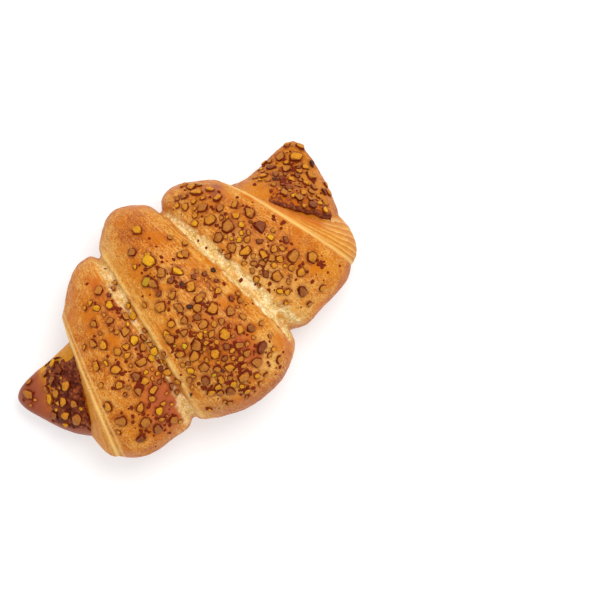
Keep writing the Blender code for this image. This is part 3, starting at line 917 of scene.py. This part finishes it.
FLECK_DRIFTS = (
    Drift(90, LEFT_LIP + 1 * MM, LEFT_CREASE - 2 * MM, 47 * MM, 6 * MM, 108, 28),
    Drift(140, LEFT_CREASE + 1 * MM, RIGHT_CREASE, 77 * MM, 8 * MM, 115, 26),
    Drift(90, RIGHT_CREASE + 2 * MM, RIGHT_LIP - 1 * MM, 108 * MM, 7 * MM, 92, 30),
    Drift(70, RIGHT_LIP + 6 * MM, ROLL_LENGTH - 2 * MM, 143 * MM, 6 * MM, 90, 26),
    Drift(12, 1 * MM, LEFT_LIP - 6 * MM, 10 * MM, 6 * MM, 100, 30),
)

# Tight clumps of flecks: how many, and their place along the roll in mm and round it in degrees
FLECK_CLUMPS = (
    (9, 52, 69), (9, 43, 96), (12, 47, 111), (6, 50.5, 146), (7, 41, 139), (7, 70.5, 75), (8, 78, 84),
    (9, 81, 98), (9, 71, 108), (12, 63.5, 105), (8, 79, 119), (10, 76.5, 130), (7, 72, 134),
    (8, 78, 138), (6, 65.5, 134), (10, 119, 75), (9, 107.5, 102), (7, 116.5, 103), (9, 117.5, 131),
    (7, 121, 90), (16, 140, 80), (9, 146, 92),
)


def draw_flecks(draw):
    """The small burnt bits between the nuts, which may touch them."""
    clumps = tuple(
        Drift(count, 0, ROLL_LENGTH, along * MM, CLUMP_REACH, degrees, CLUMP_DEGREES)
        for count, along, degrees in FLECK_CLUMPS
    )
    flecks = []
    for drift in FLECK_DRIFTS + clumps:
        smallness = CLUMP_SMALLNESS if drift in clumps else FLECK_SMALLNESS
        for _ in range(drift.count):
            along = draw.gauss(drift.along, drift.along_spread)
            degrees = draw.gauss(drift.degrees, drift.degrees_spread)
            size = FLECK_SMALLEST + (FLECK_LARGEST - FLECK_SMALLEST) * draw.random() ** smallness
            seed = draw.randrange(10**6)
            if drift.first < along < drift.last and abs(degrees - 90) < 90 - FLECK_LOWEST_DEGREES:
                flecks.append(Nut(size, seed, *resting_frame(skin, along, math.radians(degrees))))
    return flecks


class Finish:
    """A Principled material, with short ways to wire nodes into it."""

    def __init__(self, name, roughness):
        self.material = bpy.data.materials.new(name)
        self.material.use_nodes = True
        self.tree = self.material.node_tree
        self.shader = self.tree.nodes["Principled BSDF"]
        self.shader.inputs["Roughness"].default_value = roughness

    def add(self, kind, inputs, output=0, **settings):
        """A new shader node with its inputs set or linked. Returns one of its outputs."""
        node = self.tree.nodes.new("ShaderNode" + kind)
        for key, value in settings.items():
            setattr(node, key, value)
        for key, value in inputs.items():
            self.give(node.inputs[key], value)
        return node.outputs[output]

    def give(self, socket, value):
        """Links a socket to another node's output, or sets its own value."""
        if isinstance(value, bpy.types.NodeSocket):
            self.tree.links.new(value, socket)
        elif isinstance(value, tuple) and len(value) == 3 and len(socket.default_value) == 4:
            socket.default_value = (*value, 1)
        else:
            socket.default_value = value

    def field(self, name):
        """A field painted on the mesh."""
        return self.add("Attribute", {}, "Fac", attribute_name=name)

    def flow(self, stretch):
        """The mesh's flow coordinates, along the roll and round it, stretched round it."""
        vector = self.add("Attribute", {}, "Vector", attribute_name="flow")
        return self.add("Mapping", {0: vector, "Scale": (1, 1 / stretch, 1)})

    def grain(self, length, detail=2.0, vector=None, rough=0.5):
        """Noise from 0 to 1 with features of a length."""
        vector = vector or self.add("TexCoord", {}, "Object")
        inputs = {"Vector": vector, "Scale": 1 / length, "Detail": detail, "Roughness": rough}
        return self.add("TexNoise", inputs, "Fac")

    def veins(self, length, width, shift):
        """Thin wandering lines about a length apart, drawn out round the roll."""
        vector = self.add("VectorMath", {0: self.flow(3.0), 1: (shift, shift, shift)})
        off = self.math("ABSOLUTE", self.math("SUBTRACT", self.grain(length, 4.0, vector, 0.6), 0.5))
        return self.between(off, 0.0, width, 1.0, 0.0)

    def cells(self, length):
        """The distance to the middle of the nearest of random cells."""
        vector = self.add("TexCoord", {}, "Object")
        return self.add("TexVoronoi", {"Vector": vector, "Scale": 1 / length}, "Distance")

    def math(self, operation, first, second=0.0, clamp=False):
        """Two numbers combined."""
        return self.add("Math", {0: first, 1: second}, operation=operation, use_clamp=clamp)

    def plus(self, first, second, clamp=False):
        """Two numbers added."""
        return self.math("ADD", first, second, clamp)

    def times(self, first, second):
        """Two numbers multiplied."""
        return self.math("MULTIPLY", first, second)

    def about(self, value, swing):
        """A noise's 0 to 1 turned into minus swing to plus swing."""
        return self.times(self.math("SUBTRACT", value, 0.5), 2 * swing)

    def between(self, value, low, high, to_low=0.0, to_high=1.0):
        """A value's range from low to high, eased to another range."""
        inputs = {"Value": value, 1: low, 2: high, 3: to_low, 4: to_high}
        return self.add("MapRange", inputs, interpolation_type="SMOOTHSTEP")

    def mix(self, share, first, second):
        """Two colours mixed."""
        return self.add("Mix", {0: share, 6: first, 7: second}, 2, data_type="RGBA")

    def ramp(self, share, stops):
        """A colour from a row of stops."""
        output = self.add("ValToRGB", {0: share})
        elements = output.node.color_ramp.elements
        while len(elements) < len(stops):
            elements.new(0.5)
        for element, (place, colour) in zip(elements, stops, strict=True):
            element.position = place
            element.color = (*colour, 1)
        return output

    def relief(self, height, distance, under=None):
        """A bump, over another one."""
        inputs = {"Height": height, "Distance": distance}
        if under:
            inputs["Normal"] = under
        return self.add("Bump", inputs)

    def shade(self, sockets):
        """Links or sets sockets of the Principled shader."""
        for name, value in sockets.items():
            self.give(self.shader.inputs[name], value)

    def wear(self, piece):
        """Puts the material on a piece."""
        piece.data.materials.clear()
        piece.data.materials.append(self.material)


CRUST_STOPS = (
    (0.0, (0.78, 0.42, 0.10)),
    (0.25, (0.69, 0.265, 0.028)),
    (0.5, (0.56, 0.152, 0.007)),
    (0.7, (0.46, 0.097, 0.005)),
    (0.88, (0.33, 0.056, 0.005)),
    (1.0, (0.20, 0.030, 0.004)),
)
GOLD = (0.62, 0.205, 0.002)
YOLK = (0.70, 0.29, 0.008)
AMBER = (0.54, 0.125, 0.002)
SALMON = (0.50, 0.108, 0.026)
TERRACOTTA = (0.28, 0.068, 0.036)
BROWN_LINE = (0.30, 0.065, 0.008)
CREAM = (0.84, 0.52, 0.155)
STRIPE_STOPS = ((0.0, (0.84, 0.51, 0.15)), (0.4, (0.70, 0.29, 0.03)), (1.0, (0.52, 0.145, 0.008)))
CRUMB_STOPS = (
    (0.22, (0.40, 0.25, 0.05)),
    (0.36, (0.66, 0.40, 0.10)),
    (0.48, (0.84, 0.60, 0.25)),
    (0.68, (0.95, 0.84, 0.56)),
)
FILLING_STOPS = (
    (0.2, (0.045, 0.004, 0.001)),
    (0.45, (0.13, 0.018, 0.005)),
    (0.65, (0.28, 0.060, 0.015)),
    (0.85, (0.48, 0.15, 0.02)),
)
# Maroon for the sugar stain and painted contact shadow round the nuts, and for the painted shade in the
# crust's tiny pits
STAIN_AND_SHADE = (0.23, 0.036, 0.006)


def crust_finish():
    """Egg-washed, browned crust with paler torn crumb and the edges of its layers."""
    finish = Finish("baked_crust", 0.42)
    glaze, bake, streak, in_crumb = (finish.field(name) for name in ("glaze", "bake", "streak", "crumb"))
    matt = finish.math("SUBTRACT", 1.0, glaze)
    mottle = finish.about(finish.grain(0.55 * MM, 3.0, finish.flow(1.6), 0.65), 0.85)
    mottle = finish.times(finish.plus(mottle, finish.about(finish.grain(3.2 * MM, 3.0), 0.45)), matt)
    streaks = finish.about(finish.grain(0.65 * MM, 3.0, finish.flow(16), 0.6), 0.85)
    streaks = finish.times(streaks, streak)
    light_lines = finish.between(finish.grain(0.55 * MM, 2.0, finish.flow(34)), 0.55, 0.66, 0.0, 0.75)
    dark_lines = finish.between(finish.grain(0.75 * MM, 2.0, finish.flow(26)), 0.57, 0.68, 0.0, 0.6)
    where_pale = finish.between(bake, 0.42, 0.68, 0.6, 0.06)
    crackle = finish.between(finish.grain(0.6 * MM, 3.0, rough=0.7), 0.53, 0.68, 0.0, 0.5)
    uneven_gold = finish.between(finish.grain(2.5 * MM, 2.0), 0.2, 0.8, 0.5, 0.9)
    uneven_yolk = finish.between(finish.grain(1.1 * MM, 3.0), 0.35, 0.65, 0.4, 0.95)
    uneven_stain = finish.between(finish.grain(2.2 * MM, 3.0), 0.36, 0.62, 0.12, 0.9)
    wander = finish.about(finish.grain(0.8 * MM, 2.0, finish.flow(9)), 0.3)
    stripes = finish.ramp(finish.math("FRACT", finish.plus(finish.field("layers"), wander)), STRIPE_STOPS)
    bubbles = finish.about(finish.grain(3.5 * MM, 2.0), 0.3)
    crumb = finish.plus(finish.grain(0.8 * MM, 3.0, rough=0.65), bubbles)
    crumb = finish.ramp(finish.math("SUBTRACT", crumb, 0.03), CRUMB_STOPS)
    # Painted shade: small dark spots that stand for the shade inside tiny pits of the matt crust
    pit_shade = finish.between(finish.cells(1.7 * MM), 0.09, 0.17, 0.75, 0.0)
    where_pit_shade = finish.times(matt, finish.between(finish.grain(5 * MM), 0.45, 0.6))

    colour = finish.ramp(finish.plus(bake, finish.plus(mottle, streaks), clamp=True), CRUST_STOPS)
    coats = (
        (light_lines, streak, CREAM),
        (dark_lines, streak, BROWN_LINE),
        (finish.veins(1.5 * MM, 0.030, 0), 0.6, BROWN_LINE),
        (finish.veins(1.9 * MM, 0.028, 5), where_pale, CREAM),
        (finish.field("gold"), uneven_gold, GOLD),
        (crackle, matt, CREAM),
        (glaze, 0.8, AMBER),
        (finish.field("yolk"), uneven_yolk, YOLK),
        (finish.field("rose"), 1.0, SALMON),
        (finish.field("red"), 1.0, TERRACOTTA),
        (finish.field("lip"), 0.7, stripes),
        (finish.field("cream"), 1.0, CREAM),
        (in_crumb, 1.0, crumb),
        # Darkening round each nut: partly sugar stain, partly painted contact shadow
        (finish.field("stain"), uneven_stain, STAIN_AND_SHADE),
        # Painted shade in tiny pits
        (pit_shade, where_pit_shade, STAIN_AND_SHADE),
    )
    for place, share, coat in coats:
        colour = finish.mix(finish.times(place, share), colour, coat)
    rough = finish.plus(finish.between(glaze, 0.0, 1.0, 0.46, 0.3), finish.times(in_crumb, 0.3))
    relief = finish.relief(finish.times(finish.grain(0.5 * MM, 3.0), matt), 0.12 * MM)
    relief = finish.relief(streaks, 0.10 * MM, relief)
    finish.shade({"Base Color": colour, "Specular IOR Level": 0.1, "Roughness": rough, "Normal": relief})
    return finish


def nut_finish(kind):
    """Roasted nut: darker sides and a paler, flat cut top; the sides' darkness is partly caramel and partly
    painted shade on faces that turn away from the top.
    """
    finish = Finish(kind.name, kind.roughness)
    stops = [(number / (len(kind.tops) - 1), colour) for number, colour in enumerate(kind.tops)]
    uneven = finish.about(finish.grain(1.2 * MM, 2.0), 0.6)
    tone = finish.plus(finish.field("tone"), uneven, clamp=True)
    specks = finish.between(finish.grain(0.5 * MM, 2.0), 0.48, 0.72, 0.0, 0.5)
    top = finish.mix(specks, finish.ramp(tone, stops), kind.side)
    facing = finish.plus(finish.field("facing"), finish.about(finish.grain(0.9 * MM, 2.0), 0.16))
    # Faces that turn away from the nut's top take the side colour: partly caramelised, partly painted shade
    colour = finish.mix(finish.between(facing, 0.4, 0.86), kind.side, top)
    relief = finish.relief(finish.grain(0.45 * MM, 2.0), 0.10 * MM)
    finish.shade({"Base Color": colour, "Specular IOR Level": 0.08, "Normal": relief})
    return finish


def filling_finish():
    """Dark, sugary nut paste."""
    finish = Finish("baked_filling", 0.5)
    lump = finish.times(finish.field("lump"), 0.45)
    colour = finish.ramp(finish.plus(finish.grain(0.9 * MM, 3.0, rough=0.7), lump), FILLING_STOPS)
    syrup = finish.times(finish.field("syrup"), finish.between(finish.grain(1.5 * MM), 0.35, 0.6))
    colour = finish.mix(syrup, colour, AMBER)
    relief = finish.relief(finish.grain(0.6 * MM, 3.0, rough=0.7), 0.35 * MM)
    finish.shade({"Base Color": colour, "Specular IOR Level": 0.12, "Normal": relief})
    return finish


def flat_finish(name, colour, roughness):
    """A lightly mottled finish."""
    finish = Finish(name, roughness)
    paler = tuple(min(1.0, channel * 1.9) for channel in colour)
    mottled = finish.mix(finish.grain(0.8 * MM), colour, paler)
    relief = finish.relief(finish.grain(0.5 * MM), 0.08 * MM)
    finish.shade({"Base Color": mottled, "Specular IOR Level": 0.06, "Normal": relief})
    return finish


def picture_axes():
    """The picture's right, its up and the way back to the camera."""
    azimuth, elevation = math.radians(CAMERA_AZIMUTH), math.radians(CAMERA_ELEVATION)
    right = Vector((math.cos(azimuth), math.sin(azimuth), 0))
    level = Vector((math.sin(azimuth), -math.cos(azimuth), 0))
    back = level * math.cos(elevation) + Vector((0, 0, 1)) * math.sin(elevation)
    return right, back.cross(right), back


def make_camera():
    """A long lens over the croissant, with the croissant at its place in the photograph."""
    right, up, back = picture_axes()
    middle = Vector((PICTURE_WIDTH / 2, PICTURE_WIDTH / 2))
    off = (middle - SPOT_PIXEL) / PIXELS_PER_METRE
    aim = SPOT + right * off.x - up * off.y
    distance = PICTURE_WIDTH / PIXELS_PER_METRE * CAMERA_LENS / CAMERA_SENSOR
    camera = in_scene("camera", bpy.data.cameras.new("camera"))
    camera.data.lens = CAMERA_LENS
    camera.data.sensor_width = CAMERA_SENSOR
    camera.location = aim + back * distance
    camera.rotation_mode = "QUATERNION"
    camera.rotation_quaternion = back.to_track_quat("Z", "Y")
    bpy.context.scene.camera = camera


def make_light():
    """Soft light from the picture's upper right, and an even white sky."""
    right, up, _ = picture_axes()
    up = Vector((up.x, up.y, 0)).normalized()
    level = up * math.cos(KEY_TO_RIGHT) + right * math.sin(KEY_TO_RIGHT)
    way = level * math.cos(KEY_ELEVATION) + Vector((0, 0, 1)) * math.sin(KEY_ELEVATION)
    key = in_scene("key", bpy.data.lights.new("key", "AREA"))
    key.data.shape = "DISK"
    key.data.size = KEY_SIZE
    key.data.energy = KEY_POWER
    key.data.color = KEY_COLOUR
    key.location = way * KEY_DISTANCE
    key.rotation_mode = "QUATERNION"
    key.rotation_quaternion = way.to_track_quat("Z", "Y")
    world = bpy.data.worlds.new("sky")
    world.use_nodes = True
    background = world.node_tree.nodes["Background"]
    background.inputs["Color"].default_value = (1, 1, 1, 1)
    background.inputs["Strength"].default_value = SKY
    bpy.context.scene.world = world
    bpy.context.scene.view_settings.view_transform = "Standard"


def make_floor():
    """A plain white floor."""
    mesh = bmesh.new()
    bmesh.ops.create_grid(mesh, x_segments=1, y_segments=1, size=FLOOR_HALF)
    data = bpy.data.meshes.new("floor")
    mesh.to_mesh(data)
    mesh.free()
    floor = in_scene("floor", data)
    finish = Finish("floor", 0.9)
    finish.shade({"Base Color": FLOOR_COLOUR, "Specular IOR Level": 0.0})
    finish.shade({"Emission Color": (1, 1, 1), "Emission Strength": FLOOR_GLOW})
    finish.wear(floor)
    floor.location.z = -FLOOR_GAP


def kinds_of(nuts, draw):
    """Shares nuts out among the kinds at random."""
    found = {kind: [] for kind in KINDS}
    for nut in nuts:
        kind = draw.choices(KINDS, [kind.share for kind in KINDS])[0]
        if kind is KINDS[-1] and nut.size > DARK_LARGEST:
            kind = KINDS[0]
        found[kind].append(nut)
    return found


def settle(piece):
    """Lets a piece ride with the croissant."""
    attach(piece, "root")


def main():
    make_camera()
    make_light()
    make_floor()
    draw = random.Random(NUT_SEED)
    nuts = [nut for drift in PASTRY_DRIFTS for nut in draw_nuts(drift, skin, draw)]
    filling_nuts = draw_nuts(FILLING_DRIFT, filling_skin, draw)
    draw = random.Random(SMALLER_SEED)
    for drift in SMALLER_DRIFTS:
        nuts += draw_nuts(drift, skin, draw, SMALLER_LARGEST, nuts, SMALLER_SPACING)
    for drift in SMALLER_FILLING_DRIFTS:
        filling_nuts += draw_nuts(drift, filling_skin, draw, NUT_LARGEST, filling_nuts, SMALLER_SPACING)
    flecks = draw_flecks(random.Random(FLECK_SEED))

    crust = make_crust(nuts)
    crust_finish().wear(crust)
    settle(crust)
    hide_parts("pastry")

    filling = make_filling()
    filling_finish().wear(filling)
    settle(filling)
    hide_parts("filling")

    look = random.Random(LOOK_SEED)
    for kind, chips in kinds_of(nuts + filling_nuts, look).items():
        piece = joined_chips(kind.name, chips, look, NUT_SPREAD)
        nut_finish(kind).wear(piece)
        settle(piece)
    # Dark ring under each nut's edge: partly caramelised sugar, partly painted contact shadow where the nut
    # meets the crust
    edges = joined_chips("nut_rims_caramel_and_shade", nuts, look, EDGE_SPREAD, EDGE_FLATTEN)
    flat_finish("nut_rims_caramel_and_shade", MAROON, 0.4).wear(edges)
    settle(edges)
    crumbs = joined_chips("nut_flecks", flecks, look)
    flat_finish("nut_flecks", FLECK_COLOUR, 0.45).wear(crumbs)
    settle(crumbs)


main()
